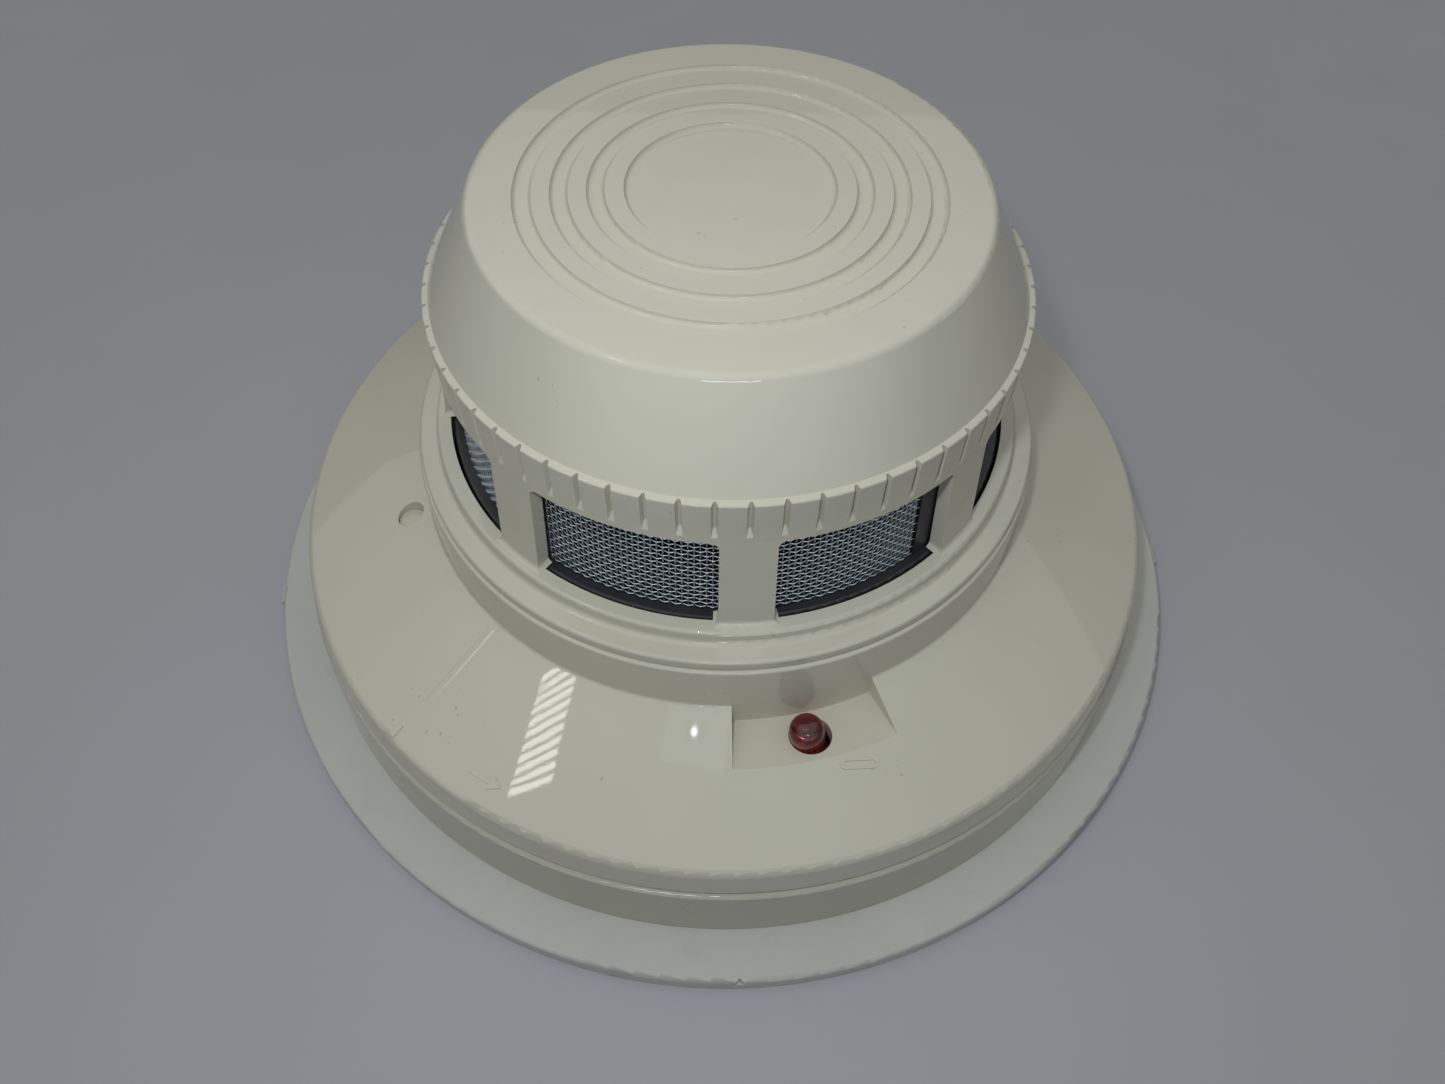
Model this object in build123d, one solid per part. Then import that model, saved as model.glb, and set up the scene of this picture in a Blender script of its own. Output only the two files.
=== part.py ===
from build123d import *
import math
import os

# Spot smoke detector on its twist-lock base.
# The origin is the centre of the back face that lies on the ceiling box, +Z points away from
# the ceiling towards the crown, and -Y is the front. All sizes are in millimetres and degrees.
# Azimuths are counted from the front (-Y) towards +X, so they grow counter-clockwise from above.

# ---------------------------------------------------------------- overall sizes
head_diameter = 140.0            # lower edge of the skirt
trim_margin = 8.75               # how far the trim ring stands out past the skirt
base_height = 15.4               # ceiling to the upper edge of the mounting base
head_gap = 0.5                   # dark groove between the base and the skirt
skirt_height = 5.1
cone_height = 7.9
collar_height = 8.5
joint_gap = 0.3                  # parting line between the collar and the cover
cover_edge_height = 1.5
sill_height = 2.4                # cover edge to the window sills
window_height = 16.3
band_height = 7.2
crown_height = 12.8

# ---------------------------------------------------------------- walls and fits
plastic_wall = 2.0
thin_wall = 1.4
fit_gap = 0.1                    # pieces that seat in each other in one body
moving_gap = 0.35                # curved faces of pieces that move past each other
blade_gap = 0.05                 # sliding contact

# ---------------------------------------------------------------- trim ring and mounting base
trim_thickness = 3.8
trim_edge_round = 0.7
base_overhang = 1.5              # foot of the base ring past the skirt's lower edge
base_draft = 1.1
base_wall_foot = 2.2
base_floor = 2.2
shelf_thickness = 2.0
hub_step = 8.9                   # base ring to the raised floor that passes through the trim ring
cable_opening_radius = 22.0
box_slot_width = 4.8
octagon_box_spacing = 79.4       # middle of the 69.9 and 88.9 mm boxes
octagon_slot_length = 24.0
single_box_spacing = 83.3
single_slot_length = 9.0
trim_tab_azimuths = (-79.0, 88.0)
trim_tab_length = 4.0
trim_tab_reach = 0.6
release_notch_azimuth = 75.0

# ---------------------------------------------------------------- twist lock and contacts
twist_range = 17.0
lug_azimuths = (60.0, 180.0, 300.0)
lug_half_angle = 5.0
lug_thickness = 1.7
hook_thickness = 1.5
contact_azimuths = (45.0, 135.0, 225.0, 315.0)
contact_width = 5.0
contact_thickness = 0.8
blade_thickness = 0.9
blade_height = 4.25              # underside of the blade above the ceiling
terminal_screw_radius = 1.75
terminal_head_radius = 3.4
terminal_inset = 9.5             # terminal screw inside the contact ring

# ---------------------------------------------------------------- lower housing
collar_radius = 48.2             # foot of the collar
collar_draft = 0.4
skirt_draft = 0.8
spigot_clearance = 1.5           # spigot foot above the hooks of the base
lamp_pocket_azimuths = (1.9, 26.1)
lamp_pocket_floor_drop = 4.1     # below the foot of the collar
lamp_pocket_rise = 1.15          # the pocket floor climbs outwards by this much
lamp_pocket_reach = 8.4          # collar foot to where the floor runs out on the cone
lamp_azimuth = 14.0
lamp_offset = 4.0                # lamp hole outside the collar foot
lamp_hole_radius = 3.05
lamp_radius = 2.5
lamp_lean = 5.5
test_azimuth = -72.5
test_offset = 3.4
test_hole_radius = 2.15
test_travel = 0.8
test_recess = 1.5
rib_azimuth = -42.2
rib_length = 13.7
rib_round = 2.2
rib_height = 0.15
mark_height = 0.2
gate_mark_radius = 57.9
gate_mark_azimuth = 19.4
arrow_azimuth = -29.6

# ---------------------------------------------------------------- cover
window_count = 8
post_azimuth = 4.3               # middle of the front post
post_angle = 9.9
notch_count = 62                 # all round the band
notch_width = 0.85
notch_floor = 0.3
notch_depth = 0.65
ledge_width = 2.9
post_setback = 1.7               # foot of the posts behind the outer face of the sill ring
post_lean = 1.4                  # the posts lean in by this much up to the band
sill_width = 2.3
rim_width = 0.9
crown_taper = 7.05
crown_round = 1.3
crown_rings = ((25.1, 27.5), (20.5, 22.8), (15.9, 18.2))
crown_disc_radius = 13.5
crown_recess = 0.65
groove_round = 0.6

# ---------------------------------------------------------------- inside the head
rear_cover_height = 9.8
board_height = 16.0
board_thickness = 1.6
board_margin = 2.6               # board edge past the lamp hole
housing_screw_inset = 10.0
housing_screw_azimuths = (20.0, 140.0, 260.0)
chamber_screw_azimuths = (30.0, 150.0, 270.0)
screen_wire = 0.3
frame_bar_thickness = 0.8
frame_bar_angle = 9.0
frame_flange_thickness = 1.1
frame_ring_height = 1.6
seam_pillar_angle = 18.0         # wide pillar that holds both ends of the screen
vane_count = 20
optic_inset = 8.05               # middle of the emitter and the photodiode inside the ring of vanes
optic_radius = 2.5
emitter_azimuth = 112.0
receiver_azimuth = -28.0

# ---------------------------------------------------------------- levels worked out from the above
skirt_bottom = base_height + head_gap
skirt_top = skirt_bottom + skirt_height
collar_bottom = skirt_top + cone_height
collar_top = collar_bottom + collar_height
cover_bottom = collar_top + joint_gap
cover_edge_top = cover_bottom + cover_edge_height
sill_level = cover_edge_top + sill_height
window_top = sill_level + window_height
band_top = window_top + band_height
crown_top = band_top + crown_height
shelf_top = trim_thickness + shelf_thickness
rear_cover_top = rear_cover_height + plastic_wall
board_top = board_height + board_thickness
chamber_floor_top = sill_level - thin_wall
screen_foot = chamber_floor_top + frame_flange_thickness
screen_top = window_top + 1.2
optic_level = chamber_floor_top + 6.5
pocket_floor = collar_bottom - lamp_pocket_floor_drop
lamp_hole_level = pocket_floor + lamp_pocket_rise * lamp_offset / lamp_pocket_reach

# ---------------------------------------------------------------- radii worked out from the above
head_radius = head_diameter / 2
trim_radius = head_radius + trim_margin
base_foot_radius = head_radius + base_overhang
base_top_radius = base_foot_radius - base_draft
base_inner_radius = base_foot_radius - base_wall_foot
base_inner_top = base_inner_radius - 0.4
hub_radius = base_foot_radius - hub_step
spigot_radius = base_inner_top - 0.6
spigot_inner = spigot_radius - plastic_wall
skirt_radius = head_radius - skirt_draft
collar_top_radius = collar_radius - collar_draft
collar_inner = collar_radius - plastic_wall
cover_radius = collar_top_radius - 0.5
wall_foot_radius = cover_radius - ledge_width
post_foot_radius = wall_foot_radius - post_setback
band_radius = post_foot_radius - post_lean
band_inner = band_radius - plastic_wall
rim_radius = band_radius - rim_width
crown_radius = rim_radius - crown_taper
sill_inner = wall_foot_radius - sill_width
skirt_ring_outer = collar_inner - 1.2
skirt_ring_inner = skirt_ring_outer - 1.6
screen_top_radius = band_inner - moving_gap
screen_foot_radius = post_foot_radius - plastic_wall - moving_gap
frame_flange_radius = sill_inner - moving_gap
chamber_radius = frame_flange_radius
drum_radius = screen_top_radius - 2.8
vane_outer = screen_top_radius - 3.4
vane_inner = vane_outer - 6.5
optic_ring = vane_inner - optic_inset
lamp_centre = collar_radius + lamp_offset
test_centre = collar_radius + test_offset
board_radius = lamp_centre + board_margin + 1.4
housing_screw_radius = head_radius - housing_screw_inset
lug_radius = base_inner_radius - 1.5
hook_inner_radius = base_inner_radius - 5.0
lug_post_outer = hook_inner_radius - moving_gap
rear_cover_radius = lug_post_outer + 0.2
contact_ring = hook_inner_radius - 11.8
contact_inner = contact_ring - contact_width / 2
contact_outer = contact_ring + contact_width / 2
terminal_ring = contact_ring - terminal_inset
lug_bottom = shelf_top + 0.8
hook_bottom = lug_bottom + lug_thickness + 0.3
spigot_foot = hook_bottom + hook_thickness + spigot_clearance
seam_azimuth = post_azimuth + 360 / window_count
guide_low = board_top + 4.2
cone_slope = cone_height / (skirt_radius - collar_radius)
cone_wall = plastic_wall * math.hypot(1, cone_slope)

os.makedirs("parts", exist_ok=True)


# ================================================================ helpers
def facing(azimuth):
    """Location that turns +X outwards to an azimuth."""
    return Rot(0, 0, azimuth - 90)


def placed(shape, radius, azimuth, height=0.0):
    """Shape carried to a radius and azimuth, with its own +X pointing outwards."""
    return facing(azimuth) * Pos(radius, 0, height) * shape


def turned(points, rounds=None, azimuth=90, sweep=360):
    """Solid turned about Z from (radius, height) corners; rounds maps a corner number to its radius."""
    corners = [Vector(radius, 0, height) for radius, height in points]
    face = Face(Wire.make_polygon(corners, close=True))
    for number, radius in (rounds or {}).items():
        corner = face.vertices().sort_by_distance(corners[number])[0]
        face = face.fillet_2d(radius, [corner])
    return facing(azimuth) * revolve(face, Axis.Z, sweep)


def sector(inner, outer, low, high, start, end):
    """Arc-shaped block between two radii, two heights and two azimuths."""
    outline = [(inner, low), (outer, low), (outer, high), (inner, high)]
    return turned(outline, azimuth=start, sweep=end - start)


def tube(inner, outer, low, high):
    """Plain ring between two heights."""
    return sector(inner, outer, low, high, 90, 450)


def rod(radius, low, high):
    """Round bar on the Z axis."""
    return Pos(0, 0, low) * Cylinder(radius, high - low, align=(Align.CENTER, Align.CENTER, Align.MIN))


def block(length, width, low, high):
    """Rectangular bar centred on the Z axis."""
    align = (Align.CENTER, Align.CENTER, Align.MIN)
    return Pos(0, 0, low) * Box(length, width, high - low, align=align)


def bar_from(inner, outer, width, low, high):
    """Rectangular bar that runs outwards along +X from one radius to another."""
    return Pos((inner + outer) / 2, 0, 0) * block(outer - inner, width, low, high)


def obround(length, width, low, high):
    """Slot-shaped bar, long along X."""
    return Pos(0, 0, low) * extrude(SlotOverall(length, width), high - low)


def cone_at(radius):
    """Height of the outer cone of the lower housing at a radius."""
    return skirt_top + (skirt_radius - radius) * cone_slope


def save(node, *pieces):
    """Write one node, a single solid or a group of like solids."""
    solids = [solid for piece in pieces for solid in piece.solids()]
    shape = solids[0] if len(solids) == 1 else Compound(children=solids)
    shape.label = node
    export_step(shape, f"parts/{node}.step")


def around(azimuths, radius, shape):
    """Copies of a shape at several azimuths."""
    return [placed(shape, radius, azimuth) for azimuth in azimuths]


# ================================================================ trim ring
def make_trim_ring():
    """Flat decorative ring with a rounded edge, two small edge tabs and a nick at the front."""
    inner = hub_radius + moving_gap
    relief_inner = inner + 4.0
    relief_outer = trim_radius - 3.0
    relief_depth = trim_thickness - 2.2
    outline = [(inner, 0), (relief_inner, 0), (relief_inner, relief_depth), (relief_outer, relief_depth),
               (relief_outer, 0), (trim_radius, 0), (trim_radius, trim_thickness), (inner, trim_thickness)]
    ring = turned(outline, {5: 0.4, 6: trim_edge_round})
    tab_angle = math.degrees(trim_tab_length / trim_radius)
    for azimuth in trim_tab_azimuths:
        tab = turned([(trim_radius - 2.5, 0.8), (trim_radius + trim_tab_reach, 0.8),
                      (trim_radius + trim_tab_reach, trim_thickness - 1.0),
                      (trim_radius - 1.2, trim_thickness)], azimuth=azimuth - tab_angle / 2, sweep=tab_angle)
        ring = ring + tab
    nick = placed(Rot(0, 0, 45) * block(0.9, 0.9, trim_thickness - 1.6, trim_thickness + 1), trim_radius, 2.6)
    return ring - nick


# ================================================================ mounting base
def make_mounting_base():
    """Round base: floor with cable opening and box slots, shelf, outer wall, hooks and terminal pads."""
    outline = [(cable_opening_radius, 0), (hub_radius, 0), (hub_radius, trim_thickness),
               (base_foot_radius, trim_thickness), (base_top_radius, base_height),
               (base_inner_top, base_height), (base_inner_radius, shelf_top),
               (hub_radius - base_floor, shelf_top), (hub_radius - base_floor, base_floor),
               (cable_opening_radius, base_floor)]
    base = turned(outline, {4: 0.7, 3: 0.3})
    base = base + tube(cable_opening_radius, cable_opening_radius + thin_wall, 0, base_floor + 2.0)
    pad_top = blade_height - blade_gap - contact_thickness
    for azimuth in contact_azimuths:
        pad = sector(contact_inner - 0.5, contact_outer + 0.5, 0, pad_top, azimuth - 12.5, azimuth + 1.5)
        boss = facing(azimuth - 5) * bar_from(terminal_ring - 5.5, contact_ring, 12.0, 0, pad_top)
        base = base + [pad, boss]
    for azimuth in lug_azimuths:
        hook = sector(hook_inner_radius, base_inner_radius, hook_bottom, hook_bottom + hook_thickness,
                      azimuth - 6, azimuth + 6)
        lock_stop = sector(hook_inner_radius, base_inner_radius, shelf_top - 1, hook_bottom + hook_thickness,
                           azimuth - lug_half_angle - 1.6, azimuth - lug_half_angle - 0.1)
        end_angle = azimuth + twist_range + lug_half_angle
        end_stop = sector(hook_inner_radius, base_inner_radius, shelf_top - 1, hook_bottom,
                          end_angle + 0.1, end_angle + 1.6)
        base = base + [hook, lock_stop, end_stop]
    cutters = []
    for side in (-1, 1):
        slot = obround(octagon_slot_length, box_slot_width, -1, base_floor + 1)
        cutters.append(Pos(side * octagon_box_spacing / 2, 0, 0) * slot)
        slot = Rot(0, 0, 90) * obround(single_slot_length, box_slot_width, -1, base_floor + 1)
        cutters.append(Pos(0, side * single_box_spacing / 2, 0) * slot)
    for azimuth in contact_azimuths:
        hole = rod(terminal_screw_radius + fit_gap, 0.8, pad_top + 1)
        cutters.append(placed(hole, terminal_ring, azimuth - 5))
        underside = sector(contact_inner + 1.2, contact_outer - 1.2, -1, 1.4, azimuth - 11, azimuth)
        cutters.append(underside)
    cutters.append(sector(base_inner_top - 0.5, base_top_radius - 0.5, base_height - 1.3, base_height + 1,
                          release_notch_azimuth - 2.2, release_notch_azimuth + 2.2))
    cutters.append(tube(cable_opening_radius + 5, cable_opening_radius + 6, -1, 0.5))
    return base - cutters


def make_base_contact(azimuth):
    """Spring jaw that grips a blade of the head, with the plate of its screw terminal."""
    low = blade_height - blade_gap - contact_thickness
    blade_top = blade_height + blade_thickness
    jaw_top = blade_top + blade_gap + contact_thickness
    lower_leaf = sector(contact_inner, contact_outer, low, low + contact_thickness, azimuth - 11, azimuth + 1)
    upper_leaf = sector(contact_inner, contact_outer, jaw_top - contact_thickness, jaw_top,
                        azimuth - 11, azimuth + 1)
    back = sector(contact_inner, contact_outer, low, jaw_top, azimuth - 12, azimuth - 11)
    high = low + contact_thickness
    plate = facing(azimuth - 5) * bar_from(terminal_ring - 4.5, contact_ring, 9.0, low, high)
    hole = placed(rod(terminal_screw_radius, low - 1, low + 2), terminal_ring, azimuth - 5)
    return lower_leaf + upper_leaf + back + plate - hole


def make_wire_clamp(azimuth):
    """Square saddle washer that holds the wire under the terminal screw."""
    low = blade_height - blade_gap
    plate = block(8.4, 8.4, low, low + 1.0)
    lips = [Pos(0, side * 3.8, 0) * block(8.4, 0.8, low + 1.0, low + 1.9) for side in (-1, 1)]
    clamp = plate + lips - rod(terminal_screw_radius + fit_gap, low - 1, low + 3)
    return placed(clamp, terminal_ring, azimuth - 5)


def make_terminal_screw():
    """Pan-head terminal screw with a cross slot."""
    seat = blade_height - blade_gap + 1.0
    head = rod(terminal_head_radius - 0.3, seat, seat + 2.1)
    head = chamfer(head.edges().group_by(Axis.Z)[-1], 0.6)
    screw = head + rod(terminal_screw_radius, 1.0, seat)
    slots = [Rot(0, 0, turn) * block(4.4, 0.9, seat + 0.9, seat + 3) for turn in (25, 115)]
    return screw - slots


# ================================================================ lower housing
def make_lower_housing():
    """Skirt, cone and collar in one shell, with the lamp pocket, test hole and moulded marks."""
    under = skirt_top - cone_wall
    inner_cone_top = under + (skirt_radius - collar_inner) * cone_slope
    inner_cone_foot = under + (skirt_radius - spigot_inner - 0.4) * cone_slope
    outline = [(spigot_inner, spigot_foot), (spigot_radius, spigot_foot),
               (spigot_radius, skirt_bottom), (head_radius, skirt_bottom), (skirt_radius, skirt_top),
               (collar_radius, collar_bottom), (collar_top_radius, collar_top),
               (collar_inner - 0.6, collar_top), (collar_inner, inner_cone_top),
               (spigot_inner + 0.4, inner_cone_foot)]
    shell = turned(outline, {4: 1.4, 5: 0.6, 6: 0.5, 3: 0.3})
    filled = turned([(0, skirt_bottom)] + outline[3:7] + [(0, collar_top)])

    start, end = lamp_pocket_azimuths
    pocket_low = pocket_floor - plastic_wall
    patch = sector(collar_inner - 0.2, lamp_centre + 8, pocket_low, collar_bottom + 1, start - 1.8, end + 1.8)
    pocket_inner = collar_radius + (collar_bottom - pocket_floor) * collar_draft / collar_height
    above = collar_bottom + 2
    pocket_top_inner = collar_radius - 2 * collar_draft / collar_height
    pocket_outer = collar_radius + 2 * lamp_pocket_reach
    pocket = turned([(pocket_inner, pocket_floor), (pocket_outer, pocket_floor + 2 * lamp_pocket_rise),
                     (pocket_outer, above), (pocket_top_inner, above)], azimuth=start, sweep=end - start)
    lamp_hole = placed(rod(lamp_hole_radius, pocket_low - 2, pocket_floor + 4), lamp_centre, lamp_azimuth)
    guide = placed(rod(test_hole_radius + 1.2, guide_low, cone_at(test_centre) - 1), test_centre, test_azimuth)
    test_hole = placed(rod(test_hole_radius, guide_low - 1, collar_bottom + 4), test_centre, test_azimuth)
    housing = shell + (patch & filled) + guide

    for azimuth in housing_screw_azimuths:
        roof = cone_at(housing_screw_radius) - plastic_wall
        boss = placed(rod(3.2, rear_cover_top, roof), housing_screw_radius, azimuth)
        housing = housing + boss
    cutters = [pocket, lamp_hole, test_hole]
    for azimuth in housing_screw_azimuths:
        cutters.append(placed(rod(1.25, rear_cover_top - 1, rear_cover_top + 8), housing_screw_radius, azimuth))
    housing = housing - cutters
    for quarter in range(4):
        azimuth = post_azimuth + 45 + 90 * quarter
        key = sector(skirt_ring_inner + 0.2, collar_inner - 0.2, collar_bottom + 1, collar_top - 0.5,
                     azimuth - 1.6, azimuth + 1.6)
        housing = housing + key
    return housing + make_skirt_marks(filled)


def make_skirt_marks(filled):
    """Soft rib, alignment tab, turning arrow and gate mark that stand a little off the cone."""
    skin = (Pos(0, 0, mark_height) * filled) - filled
    tall = collar_bottom + 3
    slope_angle = math.degrees(math.atan(cone_slope))
    rib_middle = collar_radius + 0.6 + rib_length / 2
    rib_depth = rib_round - rib_height
    rib = Rot(0, 90 + slope_angle, 0) * Cylinder(rib_round, rib_length)
    rib = placed(Pos(-rib_depth * math.sin(math.radians(slope_angle)), 0,
                     cone_at(rib_middle) - rib_depth * math.cos(math.radians(slope_angle))) * rib,
                 rib_middle, rib_azimuth) - Pos(0, 0, -1) * filled
    tab = facing(rib_azimuth - 0.8) * bar_from(head_radius - 3.2, head_radius - 1.3, 0.8, skirt_bottom, tall)
    arrow_shape = Polygon((-2.6, -0.35), (0.8, -0.35), (0.8, -1.2), (2.7, 0), (0.8, 1.2), (0.8, 0.35),
                          (-2.6, 0.35), align=None)
    arrow = Pos(0, 0, skirt_top) * extrude(Rot(0, 0, 90) * arrow_shape, tall - skirt_top)
    arrow = placed(arrow, head_radius - 4.6, arrow_azimuth)
    gate = obround(5.4, 1.5, skirt_top, tall) - obround(4.5, 0.6, skirt_top - 1, tall + 1)
    gate = placed(Rot(0, 0, 77) * gate, gate_mark_radius, gate_mark_azimuth)
    marks = [piece & skin for piece in (tab, arrow, gate)]
    return Compound(children=[rib] + [solid for mark in marks for solid in mark.solids()])


# ================================================================ test plunger
def make_test_plunger():
    """Round plunger that stands recessed in the test hole and reaches down to the test switch."""
    radius = test_hole_radius - 0.08
    top = cone_at(test_centre) - test_recess
    head = rod(radius, guide_low - 0.9, top)
    collar = rod(radius + 1.0, guide_low - 0.9, guide_low - 0.15)
    plunger = head + collar
    return placed(plunger, test_centre, test_azimuth)


# ================================================================ cover
def make_cover():
    """Cover with its locating ring, eight windows, notched band, steep crown and ringed top."""
    crown_line = crown_height / crown_taper
    crown_wall = plastic_wall * math.hypot(1, 1 / crown_line)
    inner_top = crown_top - plastic_wall - 0.2
    inner_crown = crown_radius - crown_wall + (crown_top - inner_top) / crown_line
    ring_low = collar_top - 3.0
    lip_low = cover_bottom + 0.1
    outline = [(cover_radius - 1.7, cover_bottom), (cover_radius, cover_bottom),
               (cover_radius, cover_edge_top), (wall_foot_radius, cover_edge_top + 0.25),
               (wall_foot_radius - 0.2, sill_level), (post_foot_radius, sill_level),
               (band_radius, window_top), (band_radius, band_top), (rim_radius, band_top + 0.2),
               (crown_radius, crown_top), (0, crown_top), (0, inner_top), (inner_crown, inner_top),
               (rim_radius - crown_wall, band_top + 0.2), (band_inner, band_top - 1.4),
               (band_inner, window_top), (post_foot_radius - plastic_wall, sill_level),
               (sill_inner, sill_level), (sill_inner, lip_low),
               (skirt_ring_inner, lip_low), (skirt_ring_inner, ring_low), (skirt_ring_outer, ring_low),
               (skirt_ring_outer, lip_low), (cover_radius - 1.7, lip_low)]
    cover = turned(outline, {2: 0.5, 3: 0.8, 4: 0.6, 5: 0.8, 7: 0.25, 9: crown_round, 12: 2.0})
    cover = cover - [make_window(number) for number in range(window_count)]
    notch = make_notch()
    cover = cover - [facing(post_azimuth + number * 360 / notch_count) * notch for number in range(notch_count)]
    for inner, outer in crown_rings:
        cover = cover - turned([(inner, crown_top - crown_recess), (outer, crown_top - crown_recess),
                                (outer, crown_top + 1), (inner, crown_top + 1)],
                               {0: groove_round, 1: groove_round})
    disc = [(0, crown_top - crown_recess), (crown_disc_radius, crown_top - crown_recess),
            (crown_disc_radius, crown_top + 1), (0, crown_top + 1)]
    cover = cover - turned(disc, {1: groove_round})
    for quarter in range(4):
        azimuth = post_azimuth + 45 + 90 * quarter
        cover = cover - sector(skirt_ring_inner - 1, skirt_ring_outer + 1, ring_low - 1, lip_low,
                               azimuth - 2.2, azimuth + 2.2)
    return cover


def make_window(number):
    """Cutter of one window: an arc-shaped block with rounded corners, drawn straight up and down."""
    pitch = 360 / window_count
    start = post_azimuth + number * pitch + post_angle / 2
    end = start + pitch - post_angle
    opening = sector(band_inner - 3, wall_foot_radius + 2, sill_level, window_top, start, end)
    straight_edges = opening.edges().filter_by(GeomType.LINE)
    level_edges = straight_edges.filter_by(lambda edge: abs(edge.tangent_at(0).Z) < 0.1)
    upper = level_edges.group_by(Axis.Z)[-1]
    opening = fillet(upper, 1.3)
    straight_edges = opening.edges().filter_by(GeomType.LINE)
    level_edges = straight_edges.filter_by(lambda edge: abs(edge.tangent_at(0).Z) < 0.1)
    lower = [edge for edge in level_edges if abs(edge.center().Z - sill_level) < 0.01]
    return fillet(lower, 0.7)


def make_notch():
    """Cutter of one vertical notch that narrows inwards and runs out on a facet above the windows."""
    foot = window_top + 1.1
    deep = band_radius - notch_depth
    spread = (notch_width - notch_floor) / 2 / notch_depth
    reach = 0.6
    mouth = notch_floor / 2 + (notch_depth + reach) * spread
    outline = Polygon((deep, notch_floor / 2), (deep, -notch_floor / 2), (band_radius + reach, -mouth),
                      (band_radius + reach, mouth), align=None)
    prism = Pos(0, 0, window_top - 3) * extrude(outline, band_height + 4.5)
    run_out = Plane(origin=(band_radius, 0, foot), x_dir=(0, 1, 0), z_dir=(1.3, 0, notch_depth))
    return split(prism, bisect_by=run_out, keep=Keep.TOP).solids()[0]


# ================================================================ black frame and insect screen
def screen_sleeve(depth, thickness, low, high):
    """Section of a sleeve that follows the lean of the screen, at a depth inside its outer face."""
    slope = (screen_foot_radius - screen_top_radius) / (screen_top - screen_foot)
    foot = screen_foot_radius - depth + (screen_foot - low) * slope
    top = screen_foot_radius - depth + (screen_foot - high) * slope
    return [(foot - thickness, low), (foot, low), (top, high), (top - thickness, high)]


def make_screen_frame():
    """Open cage behind the windows: foot flange, one bar behind each post, top ring and seam pillar."""
    low = chamber_floor_top
    inside = screen_wire + fit_gap
    flange_inner = screen_foot_radius - inside - frame_bar_thickness - 0.6
    ring_inner = screen_top_radius - inside - frame_bar_thickness
    frame = turned([(flange_inner, low), (frame_flange_radius, low), (frame_flange_radius, screen_foot),
                    (flange_inner, screen_foot)], {2: 0.5})
    frame = frame + tube(ring_inner - 0.2, screen_top_radius - 0.2, screen_top, screen_top + frame_ring_height)
    bar = screen_sleeve(inside, frame_bar_thickness, low + 0.5, screen_top + 0.5)
    pitch = 360 / window_count
    for number in range(window_count):
        middle = post_azimuth + number * pitch
        frame = frame + turned(bar, azimuth=middle - frame_bar_angle / 2, sweep=frame_bar_angle)
    pillar = screen_sleeve(0, inside + frame_bar_thickness, low + 0.5, screen_top + 0.5)
    start = seam_azimuth - seam_pillar_angle / 2
    return frame + turned(pillar, azimuth=start, sweep=seam_pillar_angle)


def make_insect_screen():
    """Strip of woven wire bent round the cage, with its two ends at the seam pillar."""
    gap = seam_pillar_angle + 0.4
    sleeve = screen_sleeve(0, screen_wire, screen_foot, screen_top)
    return turned(sleeve, azimuth=seam_azimuth + gap / 2, sweep=360 - gap)


# ================================================================ sensing chamber
def make_chamber_base():
    """Drum on the board with the chamber floor and the holders of emitter and photodiode."""
    floor_low = chamber_floor_top - thin_wall - 0.4
    outline = [(drum_radius - thin_wall, board_top), (drum_radius, board_top), (drum_radius, floor_low),
               (chamber_radius, floor_low), (chamber_radius, chamber_floor_top), (0, chamber_floor_top),
               (0, floor_low), (drum_radius - thin_wall, floor_low)]
    drum = turned(outline)
    for azimuth in chamber_screw_azimuths:
        drum = drum + placed(rod(3.0, board_top, floor_low), drum_radius - 6, azimuth)
    for azimuth in (emitter_azimuth, receiver_azimuth):
        holder = Pos(optic_ring - 0.5, 0, 0) * block(9, 8.6, chamber_floor_top - 0.5, chamber_floor_top + 11.5)
        drum = drum + facing(azimuth) * holder
    cutters = []
    for azimuth in chamber_screw_azimuths:
        cutters.append(placed(rod(1.25, board_top - 1, board_top + 9), drum_radius - 6, azimuth))
    for azimuth in (emitter_azimuth, receiver_azimuth):
        bore = Pos(optic_ring, 0, optic_level) * Rot(0, 90, 0) * Cylinder(optic_radius + fit_gap, 12)
        cutters.append(facing(azimuth) * bore)
    return drum - cutters


def make_labyrinth():
    """Black light trap: lid and foot ring joined by chevron vanes that hide the chamber from light."""
    low = chamber_floor_top
    top = crown_top - 9.9
    lid_low = top - 1.6
    lid = turned([(0, lid_low), (vane_outer, lid_low), (vane_outer, top), (0, top)], {2: 0.8})
    trap = lid + tube(vane_inner, vane_outer, low, low + 1.0)
    middle = (vane_inner + vane_outer) / 2
    depth = vane_outer - vane_inner
    for number in range(vane_count):
        azimuth = number * 360 / vane_count
        outer_leaf = placed(Rot(0, 0, 32) * block(depth * 0.56, 0.9, low + 0.5, lid_low + 0.5),
                            middle + depth * 0.22, azimuth)
        inner_leaf = placed(Rot(0, 0, -32) * block(depth * 0.56, 0.9, low + 0.5, lid_low + 0.5),
                            middle - depth * 0.22, azimuth)
        trap = trap + [outer_leaf, inner_leaf]
    keep = tube(vane_inner - 0.5, vane_outer, low, lid_low + 1)
    return (trap & keep) + lid


def make_optic(azimuth, length):
    """Round-nosed optical element that lies in its holder and points at the chamber centre."""
    body = Rot(0, 90, 0) * Cylinder(optic_radius, length)
    nose = Pos(-length / 2, 0, 0) * Sphere(optic_radius)
    element = Pos(optic_ring, 0, optic_level) * (body + nose)
    leg_ring = optic_ring + 4.8
    for side in (-1, 1):
        leg = block(0.5, 0.5, chamber_floor_top, optic_level + 0.25)
        element = element + Pos(leg_ring, side * 1.27, 0) * leg
        bridge = bar_from(optic_ring + length / 2 - 0.3, leg_ring + 0.25, 0.5, optic_level - 0.25, optic_level + 0.25)
        element = element + Pos(0, side * 1.27, 0) * bridge
    return facing(azimuth) * element


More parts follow.
